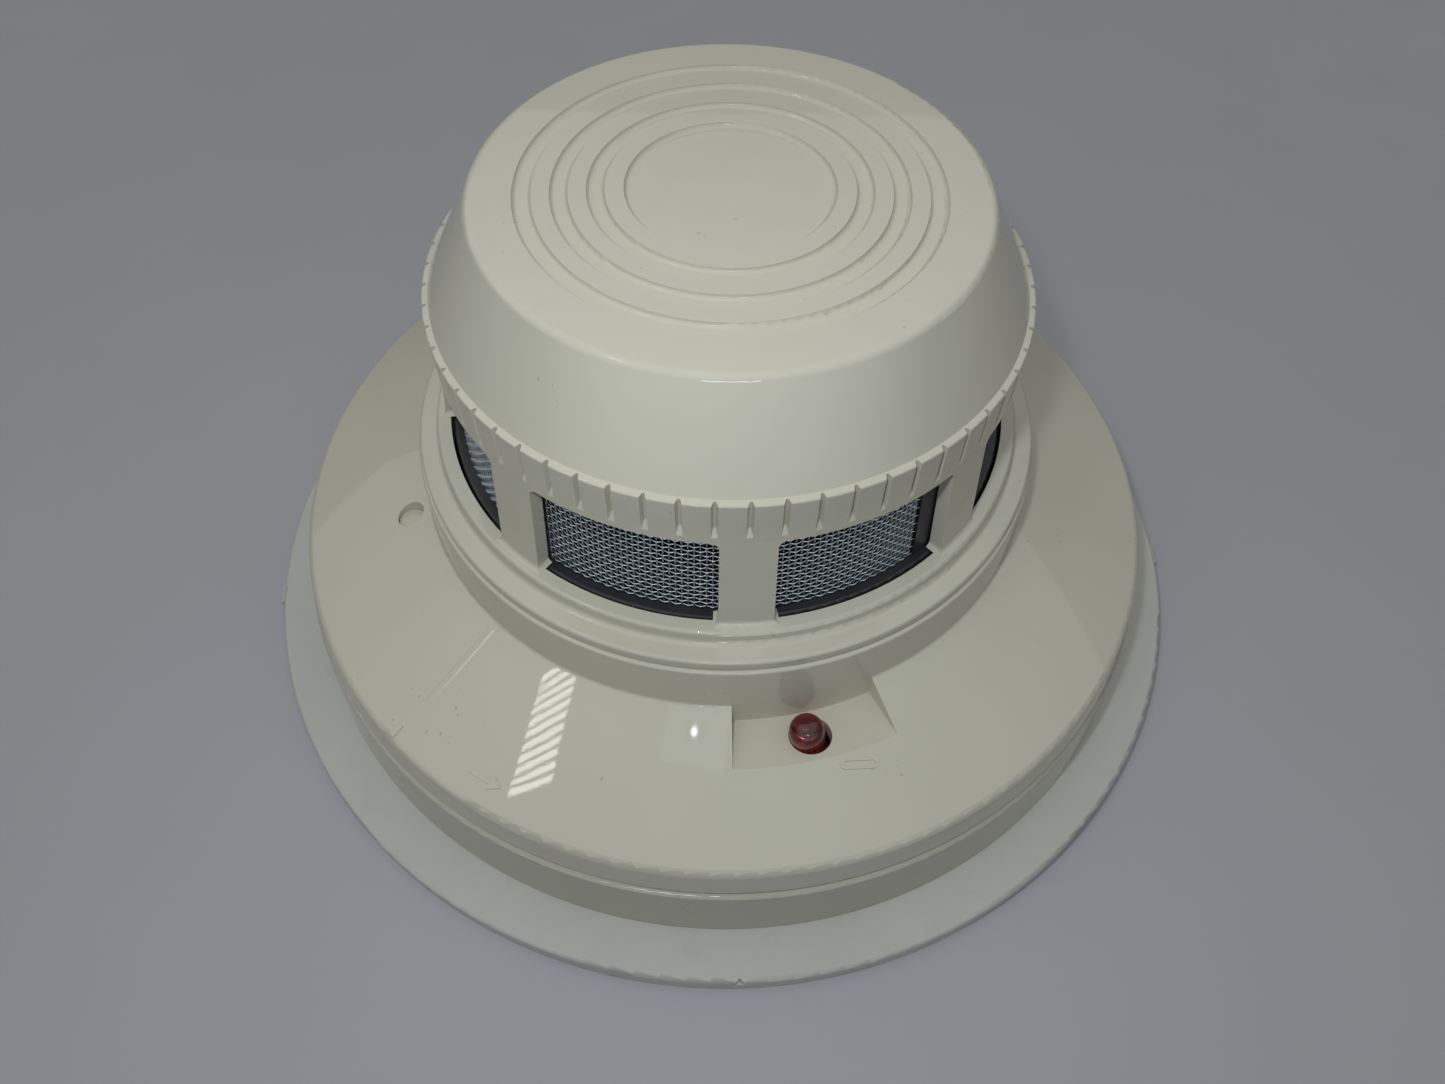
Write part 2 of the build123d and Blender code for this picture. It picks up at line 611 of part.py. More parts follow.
def make_photodiode_shield():
    """Folded tin shield that straddles the photodiode holder."""
    low = chamber_floor_top
    high = chamber_floor_top + 12.1
    outer = Pos(optic_ring, 0, 0) * block(7.0, 9.8, low, high)
    hollow = Pos(optic_ring, 0, 0) * block(9.0, 8.8, low - 1, high - 0.5)
    return facing(receiver_azimuth) * (outer - hollow)


# ================================================================ rear cover and blades
def make_rear_cover():
    """Round plate that closes the head, with bayonet lugs, board posts and blade slots."""
    low = rear_cover_height
    top = rear_cover_top
    rim = spigot_inner - fit_gap
    outline = [(0, low), (rear_cover_radius, low), (rear_cover_radius, top), (rim, top), (rim, top + 1.8),
               (rim - 2.0, top + 1.8), (rim - 2.0, top + 1.0), (rear_cover_radius - 4, top), (0, top)]
    cover = turned(outline)
    for azimuth in lug_azimuths:
        start = azimuth - lug_half_angle
        end = azimuth + lug_half_angle
        post = sector(lug_post_outer - 2.4, lug_post_outer, lug_bottom, low + 0.5, start, end)
        lug = sector(lug_post_outer - 2.4, lug_radius, lug_bottom, lug_bottom + lug_thickness, start, end)
        cover = cover + [post, lug]
    posts = around((0, 90, 180, 270), drum_radius + 6, rod(2.2, top - 0.5, board_height))
    cover = cover + posts
    cutters = []
    for azimuth in contact_azimuths:
        cutters.append(sector(contact_inner - 0.1, contact_outer + 0.1, low - 1, top + 1,
                              azimuth + 1.9, azimuth + 3.1))
    for azimuth in housing_screw_azimuths:
        cutters.append(placed(rod(1.6, low - 1, top + 3), housing_screw_radius, azimuth))
        cutters.append(placed(rod(3.35, top - 0.1, top + 3), housing_screw_radius, azimuth))
    cutters.append(tube(30, 31.2, low - 1, low + 0.6))
    return cover - cutters


def make_blade_contact(azimuth):
    """Bent strip: foot that slides into the base jaw, leg through the rear cover, and solder tail."""
    low = blade_height
    foot = sector(contact_inner, contact_outer, low, low + blade_thickness, azimuth - 8.5, azimuth + 3)
    leg = sector(contact_inner, contact_outer, low, rear_cover_top + blade_thickness, azimuth + 2, azimuth + 3)
    tab = sector(contact_inner, contact_outer, rear_cover_top, rear_cover_top + blade_thickness,
                 azimuth + 2, azimuth + 9)
    tail = placed(block(1.2, 0.8, rear_cover_top, board_top + 0.6), contact_ring, azimuth + 8)
    return foot + leg + tab + tail


# ================================================================ circuit board and what is on it
def make_circuit_board():
    """Round board with holes for the blade tails, the lamp leads and the chamber screws."""
    board = rod(board_radius, board_height, board_top)
    cutters = [placed(block(1.4, 1.0, 0, 40), contact_ring, azimuth + 8) for azimuth in contact_azimuths]
    cutters += around(chamber_screw_azimuths, drum_radius - 6, rod(1.6, 0, 40))
    lead_holes = [Pos(0, side * 1.27, 0) * rod(0.45, 0, 40) for side in (-1, 1)]
    cutters += [placed(hole, lamp_centre, lamp_azimuth) for hole in lead_holes]
    return board - cutters


def make_alarm_lamp():
    """Red lamp: round-nosed lens with a foot rim, leaning a little in its hole, and two straight leads."""
    foot = board_top + 3.0
    nose = lamp_hole_level + 1.7
    pivot = Pos(0, 0, foot) * Rot(lamp_lean, 0, 0) * Pos(0, 0, -foot)
    lens = rod(lamp_radius, foot, nose) + Pos(0, 0, nose) * Sphere(lamp_radius)
    rim = rod(lamp_radius + 0.4, foot, foot + 1.0)
    leads = [Pos(0, side * 1.27, 0) * block(0.5, 0.5, board_height - 1.2, foot + 0.6) for side in (-1, 1)]
    return placed((pivot * (lens + rim)) + leads, lamp_centre, lamp_azimuth)


def make_lamp_spacer():
    """Plastic spacer that holds the lamp above the board."""
    spacer = rod(3.1, board_top, board_top + 2.6)
    holes = [Pos(0, side * 1.27, 0) * rod(0.45, 0, 40) for side in (-1, 1)]
    return placed(spacer - holes, lamp_centre, lamp_azimuth)


def make_test_switch():
    """Small push switch under the plunger."""
    gap_below = 0.1
    stem_top = board_top + 4.2 - 0.9 - test_travel - gap_below
    body = block(6, 6, board_top, board_top + 1.8)
    return placed(body + rod(1.7, board_top + 1.8, stem_top), test_centre, test_azimuth)


def make_chip():
    """Flat controller package with two rows of legs."""
    body = chamfer(block(10, 7.6, board_top + 0.3, board_top + 2.6).edges().group_by(Axis.Z)[-1], 0.3)
    legs = []
    for side in (-1, 1):
        for number in range(8):
            foot = block(0.45, 1.6, board_top, board_top + 0.9)
            legs.append(Pos(-4.445 + 1.27 * number, side * 4.3, 0) * foot)
    return placed(body + legs, drum_radius - 17, 60)


def make_capacitors():
    """Electrolytic cans inside the drum."""
    cans = []
    for radius, azimuth, can_radius, height in ((14, 180, 5.0, 12.0), (17, 235, 4.0, 9.0), (18, 300, 4.0, 9.0)):
        can = rod(can_radius, board_top, board_top + height)
        can = chamfer(can.edges().group_by(Axis.Z)[-1], 0.4)
        cans.append(placed(can, radius, azimuth))
    return cans


def make_surge_suppressor():
    """Disc-shaped surge suppressor that stands on two leads."""
    disc = Pos(0, 0, board_top + 6.5) * Rot(90, 0, 0) * Cylinder(4.5, 2.6)
    leads = [Pos(side * 2.5, 0, 0) * rod(0.35, board_top, board_top + 5) for side in (-1, 1)]
    return placed(disc + leads, 12, 5)


def make_small_chips():
    """Rows of small surface-mount resistors and capacitors outside the drum."""
    chips = []
    for number in range(14):
        azimuth = 150 + number * 6.5
        chips.append(placed(block(1.3, 2.4, board_top, board_top + 0.7), drum_radius + 3.5, azimuth))
    return chips


def make_housing_screws():
    """Three screws that hold the rear cover to the lower housing."""
    head = rod(2.7, rear_cover_height - 1.4, rear_cover_height)
    screw = rod(1.25, rear_cover_height, rear_cover_top + 7) + head
    screw = screw - [Rot(0, 0, turn) * block(3.4, 0.7, 0, rear_cover_height - 0.6) for turn in (0, 90)]
    return around(housing_screw_azimuths, housing_screw_radius, screw)


def make_chamber_screws():
    """Three screws that hold the sensing chamber down on the board."""
    screw = rod(1.25, board_height, board_top + 8) + rod(2.6, board_height - 1.3, board_height)
    return around(chamber_screw_azimuths, drum_radius - 6, screw)


# ================================================================ all nodes
save("trim_ring", make_trim_ring())
save("mounting_base", make_mounting_base())
for index, contact_azimuth in enumerate(contact_azimuths, start=1):
    save(f"base_contact_{index}", make_base_contact(contact_azimuth))
    save(f"wire_clamp_{index}", make_wire_clamp(contact_azimuth))
    save(f"blade_contact_{index}", make_blade_contact(contact_azimuth))
save("terminal_screws", *around([azimuth - 5 for azimuth in contact_azimuths], terminal_ring, make_terminal_screw()))
save("lower_housing", make_lower_housing())
save("test_plunger", make_test_plunger())
save("detector_cover", make_cover())
save("screen_frame", make_screen_frame())
save("insect_screen", make_insect_screen())
save("chamber_base", make_chamber_base())
save("chamber_labyrinth", make_labyrinth())
save("infrared_emitter", make_optic(emitter_azimuth, 7.0))
save("photodiode", make_optic(receiver_azimuth, 5.0))
save("photodiode_shield", make_photodiode_shield())
save("rear_cover", make_rear_cover())
save("circuit_board", make_circuit_board())
save("alarm_lamp", make_alarm_lamp())
save("lamp_spacer", make_lamp_spacer())
save("test_switch", make_test_switch())
save("controller_chip", make_chip())
save("capacitors", *make_capacitors())
save("surge_suppressor", make_surge_suppressor())
save("small_chips", *make_small_chips())
save("housing_screws", *make_housing_screws())
save("chamber_screws", *make_chamber_screws())
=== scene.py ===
"""Looks of a spot smoke detector on its twist-lock base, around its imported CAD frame."""

import math

import bmesh
import bpy
from bpy.props import FloatProperty, FloatVectorProperty, PointerProperty
from mathutils import Matrix, Vector


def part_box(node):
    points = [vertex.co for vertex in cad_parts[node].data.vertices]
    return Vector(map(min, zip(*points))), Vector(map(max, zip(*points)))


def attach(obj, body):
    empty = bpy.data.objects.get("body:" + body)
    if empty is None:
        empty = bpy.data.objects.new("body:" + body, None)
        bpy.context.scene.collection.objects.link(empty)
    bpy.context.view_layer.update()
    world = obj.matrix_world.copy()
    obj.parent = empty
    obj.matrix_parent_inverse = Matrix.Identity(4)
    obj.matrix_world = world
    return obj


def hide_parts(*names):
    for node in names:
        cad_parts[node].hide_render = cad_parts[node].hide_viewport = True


bl_info = {
    "name": "Smoke Detector Finish",
    "version": (1, 0, 0),
    "blender": (4, 5, 0),
    "location": "View3D > Sidebar > Detector",
    "description": "Materials, woven screen, alarm lamp and inner detail of a spot smoke detector",
    "category": "Object",
}

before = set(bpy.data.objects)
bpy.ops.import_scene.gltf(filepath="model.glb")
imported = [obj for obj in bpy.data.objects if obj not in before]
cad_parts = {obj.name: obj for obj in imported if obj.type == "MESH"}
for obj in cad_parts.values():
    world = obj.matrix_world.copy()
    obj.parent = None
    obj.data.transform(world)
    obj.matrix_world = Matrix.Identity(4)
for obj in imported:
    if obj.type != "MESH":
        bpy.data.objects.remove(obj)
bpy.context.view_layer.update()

MM = 0.001

# Places that come from the frame
SCREEN_LOW, SCREEN_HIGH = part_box("insect_screen")
LAMP_LOW, LAMP_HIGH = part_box("alarm_lamp")
LABYRINTH_LOW, LABYRINTH_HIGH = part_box("chamber_labyrinth")
BOARD_LOW, BOARD_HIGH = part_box("circuit_board")


# ---------------------------------------------------------------- settings
class DetectorShellSettings(bpy.types.PropertyGroup):
    """Sizes and colours of the moulded shells."""

    ivory: FloatVectorProperty(name="Ivory", description="Colour of the glossy shells", subtype="COLOR",
                               size=3, default=(0.585, 0.575, 0.485))
    trim: FloatVectorProperty(name="Trim", description="Colour of the trim ring", subtype="COLOR",
                              size=3, default=(0.52, 0.53, 0.50))
    gloss: FloatProperty(name="Gloss", description="Roughness of the glossy shells", default=0.024,
                         min=0.0, max=1.0, subtype="FACTOR")
    dust: FloatProperty(name="Dust", description="Share of fine handling marks and dust", default=0.35,
                        min=0.0, max=1.0, subtype="FACTOR")


class DetectorScreenSettings(bpy.types.PropertyGroup):
    """Sizes and colours of the insect screen and its black frame."""

    pitch: FloatProperty(name="Pitch", description="Distance between two wires", default=0.8 * MM,
                         min=0.4 * MM, max=3 * MM, subtype="DISTANCE", precision=5)
    wire: FloatProperty(name="Wire", description="Diameter of one wire", default=0.25 * MM,
                        min=0.1 * MM, max=0.6 * MM, subtype="DISTANCE", precision=5)
    metal: FloatVectorProperty(name="Metal", description="Colour of the wire", subtype="COLOR",
                               size=3, default=(0.42, 0.48, 0.52))
    black: FloatVectorProperty(name="Black", description="Colour of the frame", subtype="COLOR",
                               size=3, default=(0.010, 0.011, 0.013))


class DetectorLampSettings(bpy.types.PropertyGroup):
    """Sizes and colours of the alarm lamp."""

    radius: FloatProperty(name="Radius", description="Radius of the lens", default=2.5 * MM,
                          min=1.0 * MM, max=4 * MM, subtype="DISTANCE", precision=5)
    red: FloatVectorProperty(name="Red", description="Colour of the lens", subtype="COLOR",
                             size=3, default=(0.46, 0.045, 0.050))


class DetectorStageSettings(bpy.types.PropertyGroup):
    """Floor, light and camera."""

    floor: FloatVectorProperty(name="Floor", description="Colour of the floor", subtype="COLOR",
                               size=3, default=(0.43, 0.44, 0.485))
    key: FloatProperty(name="Ceiling light", description="Power of the wide soft ceiling", default=22.5,
                       min=0.0, max=100.0, subtype="POWER")
    ceiling_lamp: FloatProperty(name="Ceiling lamp", description="Power of the slatted lamp", default=0.48,
                                min=0.0, max=10.0, subtype="POWER")
    camera_light: FloatProperty(name="Camera light", description="Power of the light beside the camera",
                                default=0.072, min=0.0, max=1.0, subtype="POWER")
    sheen: FloatProperty(name="Front sheen", description="Brightness of the front horizon in glossy faces",
                         default=1.1, min=0.0, max=50.0)
    surround: FloatProperty(name="Surround", description="Strength of the dim light all round", default=0.03,
                            min=0.0, max=2.0)
    lens: FloatProperty(name="Lens", description="Focal length of the camera", default=25.63,
                        min=10, max=200, subtype="DISTANCE_CAMERA")


# ---------------------------------------------------------------- node helpers
class Nodes:
    """A material's node tree with short calls to add and join its nodes."""

    def __init__(self, name):
        self.material = bpy.data.materials.new(name)
        self.material.use_nodes = True
        self.tree = self.material.node_tree
        self.shader = self.tree.nodes["Principled BSDF"]
        self.place = self.tree.nodes.new("ShaderNodeTexCoord").outputs["Object"]

    def add(self, kind, **values):
        """One node; a value whose name is a socket's goes to that socket, and the rest to the node."""
        node = self.tree.nodes.new(kind)
        for name, value in values.items():
            if hasattr(node, name):
                setattr(node, name, value)
            else:
                node.inputs[name.replace("_", " ")].default_value = value
        return node

    def link(self, output, socket):
        """Join an output to a socket."""
        self.tree.links.new(output, socket)

    def noise(self, scale, detail=3.0, roughness=0.5, stretch=None):
        """Noise on Object coordinates, scale in features per metre."""
        node = self.add("ShaderNodeTexNoise", Scale=scale, Detail=detail, Roughness=roughness)
        source = self.place
        if stretch:
            mapping = self.add("ShaderNodeMapping")
            mapping.inputs["Scale"].default_value = stretch
            self.link(source, mapping.inputs["Vector"])
            source = mapping.outputs["Vector"]
        self.link(source, node.inputs["Vector"])
        return node.outputs["Fac"]

    def ramp(self, value, stops):
        """Colour ramp through (position, colour) stops."""
        node = self.add("ShaderNodeValToRGB")
        elements = node.color_ramp.elements
        while len(elements) > 1:
            elements.remove(elements[-1])
        elements[0].position, elements[0].color = stops[0][0], as_rgba(stops[0][1])
        for position, colour in stops[1:]:
            elements.new(position).color = as_rgba(colour)
        self.link(value, node.inputs["Fac"])
        return node.outputs["Color"]

    def span(self, value, low, high, start=0.3, end=0.7):
        """Value carried from one range to another."""
        node = self.add("ShaderNodeMapRange")
        node.inputs["From Min"].default_value = start
        node.inputs["From Max"].default_value = end
        node.inputs["To Min"].default_value = low
        node.inputs["To Max"].default_value = high
        self.link(value, node.inputs["Value"])
        return node.outputs["Result"]

    def bump(self, height, distance, strength=1.0, below=None):
        """Bump of a height map, distance in metres, stacked on another bump."""
        node = self.add("ShaderNodeBump", Strength=strength, Distance=distance)
        self.link(height, node.inputs["Height"])
        if below is not None:
            self.link(below, node.inputs["Normal"])
        return node.outputs["Normal"]

    def mix(self, factor, first, second, blend="MIX"):
        """Colour mix; factor, first and second are outputs or plain values."""
        node = self.add("ShaderNodeMix", data_type="RGBA", blend_type=blend)
        for socket, value in (("Factor_Float", factor), ("A_Color", first), ("B_Color", second)):
            target = next(entry for entry in node.inputs if entry.identifier == socket)
            if isinstance(value, bpy.types.NodeSocket):
                self.link(value, target)
            else:
                target.default_value = value if socket == "Factor_Float" else as_rgba(value)
        return next(entry for entry in node.outputs if entry.identifier == "Result_Color")

    def finish(self, colour=None, roughness=None, normal=None, **constants):
        """Join colour, roughness and normal, and set the shader's constant sockets."""
        for socket, value in (("Base Color", colour), ("Roughness", roughness), ("Normal", normal)):
            if isinstance(value, bpy.types.NodeSocket):
                self.link(value, self.shader.inputs[socket])
            elif value is not None:
                self.shader.inputs[socket].default_value = as_rgba(value) if socket == "Base Color" else value
        for name, value in constants.items():
            self.shader.inputs[name.replace("_", " ")].default_value = value
        return self.material


def as_rgba(colour):
    """Four numbers from three or four."""
    values = tuple(colour)
    return values if len(values) == 4 else values + (1.0,)


def shade(colour, factor):
    """Colour made lighter or darker."""
    return tuple(min(1.0, part * factor) for part in tuple(colour)[:3])


# ---------------------------------------------------------------- materials
def moulded_ivory(name, colour, gloss, dust, aged=1.0):
    """Glossy moulded plastic: faint flow marks, slightly wavy skin, dust specks and rubbed patches."""
    nodes = Nodes(name)
    cloud = nodes.noise(28, 4, 0.55)
    body = nodes.ramp(cloud, [(0.30, shade(colour, 0.965)), (0.55, colour), (0.8, shade(colour, 1.03))])
    yellowed = nodes.noise(11, 2)
    tint = nodes.ramp(yellowed, [(0.35, (1.0, 0.992, 0.965)), (0.65, (1.0, 1.0, 1.0))])
    body = nodes.mix(0.6 * aged, body, tint, "MULTIPLY")
    specks = nodes.ramp(nodes.noise(900, 1, 0.5), [(0.725, (0, 0, 0)), (0.740, (1, 1, 1))])
    sparse = nodes.ramp(nodes.noise(70, 1), [(0.60, (0, 0, 0)), (0.64, (1, 1, 1))])
    dirt = nodes.mix(1.0, specks, sparse, "MULTIPLY")
    speck_amount = nodes.mix(dust, (0, 0, 0), dirt)
    body = nodes.mix(speck_amount, body, shade(colour, 0.45))
    rubbed = nodes.noise(60, 5, 0.65)
    scuffs = nodes.noise(420, 3, 0.6, stretch=(1.0, 0.25, 1.0))
    roughness = nodes.span(rubbed, gloss * 0.85, gloss * 1.5)
    worn = nodes.span(scuffs, 0.0, 0.08, 0.66, 0.82)
    total = nodes.add("ShaderNodeMath", operation="ADD")
    nodes.link(roughness, total.inputs[0])
    nodes.link(worn, total.inputs[1])
    wave = nodes.bump(nodes.noise(85, 2), 0.02 * MM, 0.5)
    grain = nodes.bump(nodes.noise(1500, 2), 0.0010 * MM, 1.0, wave)
    return nodes.finish(body, total.outputs[0], grain, IOR=1.5, Specular_IOR_Level=0.5)


def textured_trim(name, colour):
    """Fine-textured off-white plastic with a dull sheen and grey handling marks."""
    nodes = Nodes(name)
    body = nodes.ramp(nodes.noise(40, 5, 0.6), [(0.3, shade(colour, 0.95)), (0.7, shade(colour, 1.02))])
    grime = nodes.ramp(nodes.noise(190, 4, 0.6), [(0.60, (1, 1, 1)), (0.78, (0.90, 0.885, 0.86))])
    body = nodes.mix(0.7, body, grime, "MULTIPLY")
    roughness = nodes.span(nodes.noise(300, 3), 0.30, 0.44)
    wave = nodes.bump(nodes.noise(120, 2), 0.02 * MM, 0.4)
    grain = nodes.bump(nodes.noise(3000, 2), 0.012 * MM, 0.5, wave)
    return nodes.finish(body, roughness, grain, IOR=1.48)


def black_plastic(name, colour, low, high, texture=900):
    """Black moulding with uneven gloss and a little dust."""
    nodes = Nodes(name)
    body = nodes.ramp(nodes.noise(160, 4), [(0.35, colour), (0.75, shade(colour, 2.2))])
    dust = nodes.ramp(nodes.noise(1500, 3), [(0.68, (0, 0, 0)), (0.80, (0.05, 0.05, 0.048))])
    body = nodes.mix(1.0, body, dust, "ADD")
    roughness = nodes.span(nodes.noise(240, 3), low, high)
    skin = nodes.bump(nodes.noise(texture, 3), 0.01 * MM, 0.5)
    return nodes.finish(body, roughness, skin, IOR=1.5)


def drawn_metal(name, colour, low, high, stretch=(1, 1, 1), scale=900, metallic=1.0):
    """Metal with rolling lines or drawn-wire streaks and dull spots."""
    nodes = Nodes(name)
    tarnish = nodes.noise(scale * 0.3, 4)
    body = nodes.ramp(tarnish, [(0.3, shade(colour, 0.75)), (0.6, colour), (0.8, shade(colour, 1.12))])
    lines = nodes.noise(scale, 3, stretch=stretch)
    roughness = nodes.span(lines, low, high)
    relief = nodes.bump(lines, 0.01 * MM, 0.5)
    return nodes.finish(body, roughness, relief, Metallic=metallic)


def clear_epoxy(name, colour, roughness=0.05):
    """Cast transparent epoxy with faint swirls."""
    nodes = Nodes(name)
    body = nodes.ramp(nodes.noise(300, 2), [(0.3, shade(colour, 0.9)), (0.7, colour)])
    rough = nodes.span(nodes.noise(900, 3), roughness * 0.7, roughness * 1.6)
    relief = nodes.bump(nodes.noise(500, 2), 0.006 * MM, 0.4)
    return nodes.finish(body, rough, relief, IOR=1.53, Transmission_Weight=0.92)


def solder_mask(name):
    """Green solder mask over copper tracks on a glass-fibre board."""
    nodes = Nodes(name)
    weave = nodes.add("ShaderNodeTexWave", Scale=900.0, Distortion=0.6)
    nodes.link(nodes.place, weave.inputs["Vector"])
    tracks = nodes.add("ShaderNodeTexBrick", Scale=260.0, Mortar_Size=0.18)
    nodes.link(nodes.place, tracks.inputs["Vector"])
    mask = nodes.ramp(tracks.outputs["Fac"], [(0.4, (0.010, 0.075, 0.028)), (0.6, (0.022, 0.135, 0.050))])
    body = nodes.mix(0.15, mask, weave.outputs["Color"], "MULTIPLY")
    roughness = nodes.span(nodes.noise(200, 3), 0.22, 0.4)
    relief = nodes.bump(tracks.outputs["Fac"], 0.03 * MM, 0.6)
    return nodes.finish(body, roughness, relief)


def dipped_epoxy(name, colour):
    """Opaque dipped coating, slightly lumpy."""
    nodes = Nodes(name)
    body = nodes.ramp(nodes.noise(400, 3), [(0.3, shade(colour, 0.8)), (0.7, colour)])
    roughness = nodes.span(nodes.noise(500, 3), 0.28, 0.5)
    relief = nodes.bump(nodes.noise(350, 2), 0.06 * MM, 0.6)
    return nodes.finish(body, roughness, relief)


def floor_paint(name, colour):
    """Plain pale table top with the faintest mottling."""
    nodes = Nodes(name)
    body = nodes.ramp(nodes.noise(9, 3), [(0.3, shade(colour, 0.985)), (0.7, shade(colour, 1.01))])
    roughness = nodes.span(nodes.noise(40, 3), 0.5, 0.62)
    return nodes.finish(body, roughness, Specular_IOR_Level=0.3)


def dress(material, *names):
    """Put one material on CAD nodes."""
    for name in names:
        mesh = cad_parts[name].data
        mesh.materials.clear()
        mesh.materials.append(material)


# ---------------------------------------------------------------- mesh helpers
def new_piece(name, mesh, material, body, smooth=True):
    """Object of a finished bmesh, which rides on a body."""
    bmesh.ops.recalc_face_normals(mesh, faces=mesh.faces)
    data = bpy.data.meshes.new(name)
    mesh.to_mesh(data)
    mesh.free()
    data.materials.append(material)
    if smooth:
        data.shade_smooth()
    piece = bpy.data.objects.new(name, data)
    bpy.context.scene.collection.objects.link(piece)
    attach(piece, body)
    return piece


def spin_profile(mesh, points, steps):
    """Closed surface turned about Z from (radius, height) points."""
    verts = [mesh.verts.new((radius, 0.0, height)) for radius, height in points]
    edges = [mesh.edges.new((first, second)) for first, second in zip(verts, verts[1:])]
    bmesh.ops.spin(mesh, geom=verts + edges, cent=(0, 0, 0), axis=(0, 0, 1), dvec=(0, 0, 0),
                   angle=math.tau, steps=steps, use_merge=True, use_duplicate=False)
    bmesh.ops.remove_doubles(mesh, verts=mesh.verts, dist=1e-7)
    return mesh


def arc_points(centre, radius, start, end, count):
    """Points of an arc in the (radius, height) plane, angles in degrees."""
    points = []
    for number in range(count + 1):
        angle = math.radians(start + (end - start) * number / count)
        points.append((centre[0] + radius * math.cos(angle), centre[1] + radius * math.sin(angle)))
    return points


# ---------------------------------------------------------------- insect screen
class ScreenStrip:
    """Where the woven strip runs: a cage that leans in towards the top, open at the seam pillar."""

    seam_azimuth = 49.3
    seam_gap = 18.6
    foot_radius = 40.35 * MM
    top_radius = 38.95 * MM

    def __init__(self, settings):
        self.wire = settings.wire
        self.low, self.high = SCREEN_LOW.z, SCREEN_HIGH.z
        self.start = math.radians(self.seam_azimuth + self.seam_gap / 2 - 90)
        self.sweep = math.radians(360 - self.seam_gap)
        self.radius = (self.foot_radius + self.top_radius) / 2 - settings.wire
        self.rings = round((self.high - self.low) / settings.pitch)
        self.uprights = 2 * round(self.sweep * self.radius / settings.pitch / 2)
        self.wave = settings.wire * 0.52

    def lean(self, mesh):
        """Carry a mesh made on the mean cylinder onto the leaning cage."""
        middle = (self.low + self.high) / 2
        slope = (self.top_radius - self.foot_radius) / (self.high - self.low)
        for vert in mesh.verts:
            vert.co.xy *= 1 + slope * (vert.co.z - middle) / self.radius

    def out(self, angle):
        """Unit vector that points outwards at an angle."""
        return Vector((math.cos(angle), math.sin(angle), 0))


def loop_edges(verts):
    """Edges of a circle of vertices."""
    return list({edge for vert in verts for edge in vert.link_edges})


def make_level_wires(strip):
    """Level wires of the weave: arcs that wave in and out past the upright wires."""
    mesh = bmesh.new()
    outward = strip.out(strip.start)
    for number in range(strip.rings):
        level = strip.low + (number + 0.5) * (strip.high - strip.low) / strip.rings
        arc = bmesh.new()
        place = Matrix.Translation(outward * strip.radius + Vector((0, 0, level)))
        turn = Matrix.Rotation(strip.start, 4, "Z") @ Matrix.Rotation(math.radians(90), 4, "X")
        rim = bmesh.ops.create_circle(arc, segments=5, radius=strip.wire / 2, matrix=place @ turn)["verts"]
        bmesh.ops.spin(arc, geom=rim + loop_edges(rim), cent=(0, 0, 0), axis=(0, 0, 1), dvec=(0, 0, 0),
                       angle=strip.sweep, steps=strip.uprights * 2, use_merge=False, use_duplicate=False)
        bmesh.ops.holes_fill(arc, edges=arc.edges, sides=5)
        for vert in arc.verts:
            turned = (math.atan2(vert.co.y, vert.co.x) - strip.start) % math.tau
            wave = strip.wave * math.cos(turned / strip.sweep * strip.uprights * math.pi + math.pi * number)
            vert.co.xy *= 1 + wave / strip.radius
        scratch = bpy.data.meshes.new("arc")
        arc.to_mesh(scratch)
        arc.free()
        mesh.from_mesh(scratch)
        bpy.data.meshes.remove(scratch)
    strip.lean(mesh)
    return mesh


def make_upright_wires(strip):
    """Upright wires of the weave: two neighbours with opposite waves, repeated along the strip."""
    mesh = bmesh.new()
    rise = Vector((0, 0, (strip.high - strip.low) / strip.rings / 2))
    spacing = strip.sweep / strip.uprights
    for neighbour in range(2):
        outward = strip.out(strip.start + spacing * neighbour)
        place = Matrix.Translation(outward * strip.radius + Vector((0, 0, strip.low)))
        rim = bmesh.ops.create_circle(mesh, segments=5, radius=strip.wire / 2, matrix=place)["verts"]
        loop = loop_edges(rim)
        previous = 0.0
        for number in range(1, strip.rings * 2 + 1):
            wave = -strip.wave * math.sin(number * math.pi / 2) * (-1) ** neighbour
            grown = bmesh.ops.extrude_edge_only(mesh, edges=loop)["geom"]
            verts = [item for item in grown if isinstance(item, bmesh.types.BMVert)]
            loop = [item for item in grown if isinstance(item, bmesh.types.BMEdge)]
            bmesh.ops.translate(mesh, verts=verts, vec=outward * (wave - previous) + rise)
            previous = wave
    bmesh.ops.holes_fill(mesh, edges=mesh.edges, sides=5)
    pairs = strip.uprights // 2
    bmesh.ops.spin(mesh, geom=mesh.verts[:] + mesh.edges[:] + mesh.faces[:], cent=(0, 0, 0), axis=(0, 0, 1),
                   dvec=(0, 0, 0), angle=spacing * 2 * (pairs - 1), steps=pairs - 1, use_duplicate=True)
    strip.lean(mesh)
    return mesh


# ---------------------------------------------------------------- alarm lamp
class LampPlace:
    """Where the lamp stands: its own +X points away from the detector's axis, and its foot is at the origin."""

    azimuth = 14.0
    centre = 52.2 * MM
    lean = 5.5
    foot = 20.6 * MM
    pitch = 1.27 * MM

    def __init__(self):
        turn = Matrix.Rotation(math.radians(self.azimuth - 90), 4, "Z")
        self.upright = turn @ Matrix.Translation((self.centre, 0, self.foot))
        self.leaning = self.upright @ Matrix.Rotation(math.radians(self.lean), 4, "X")
        self.lead_foot = LAMP_LOW.z - self.foot
        self.height = (LAMP_HIGH.z - self.foot) * 0.999


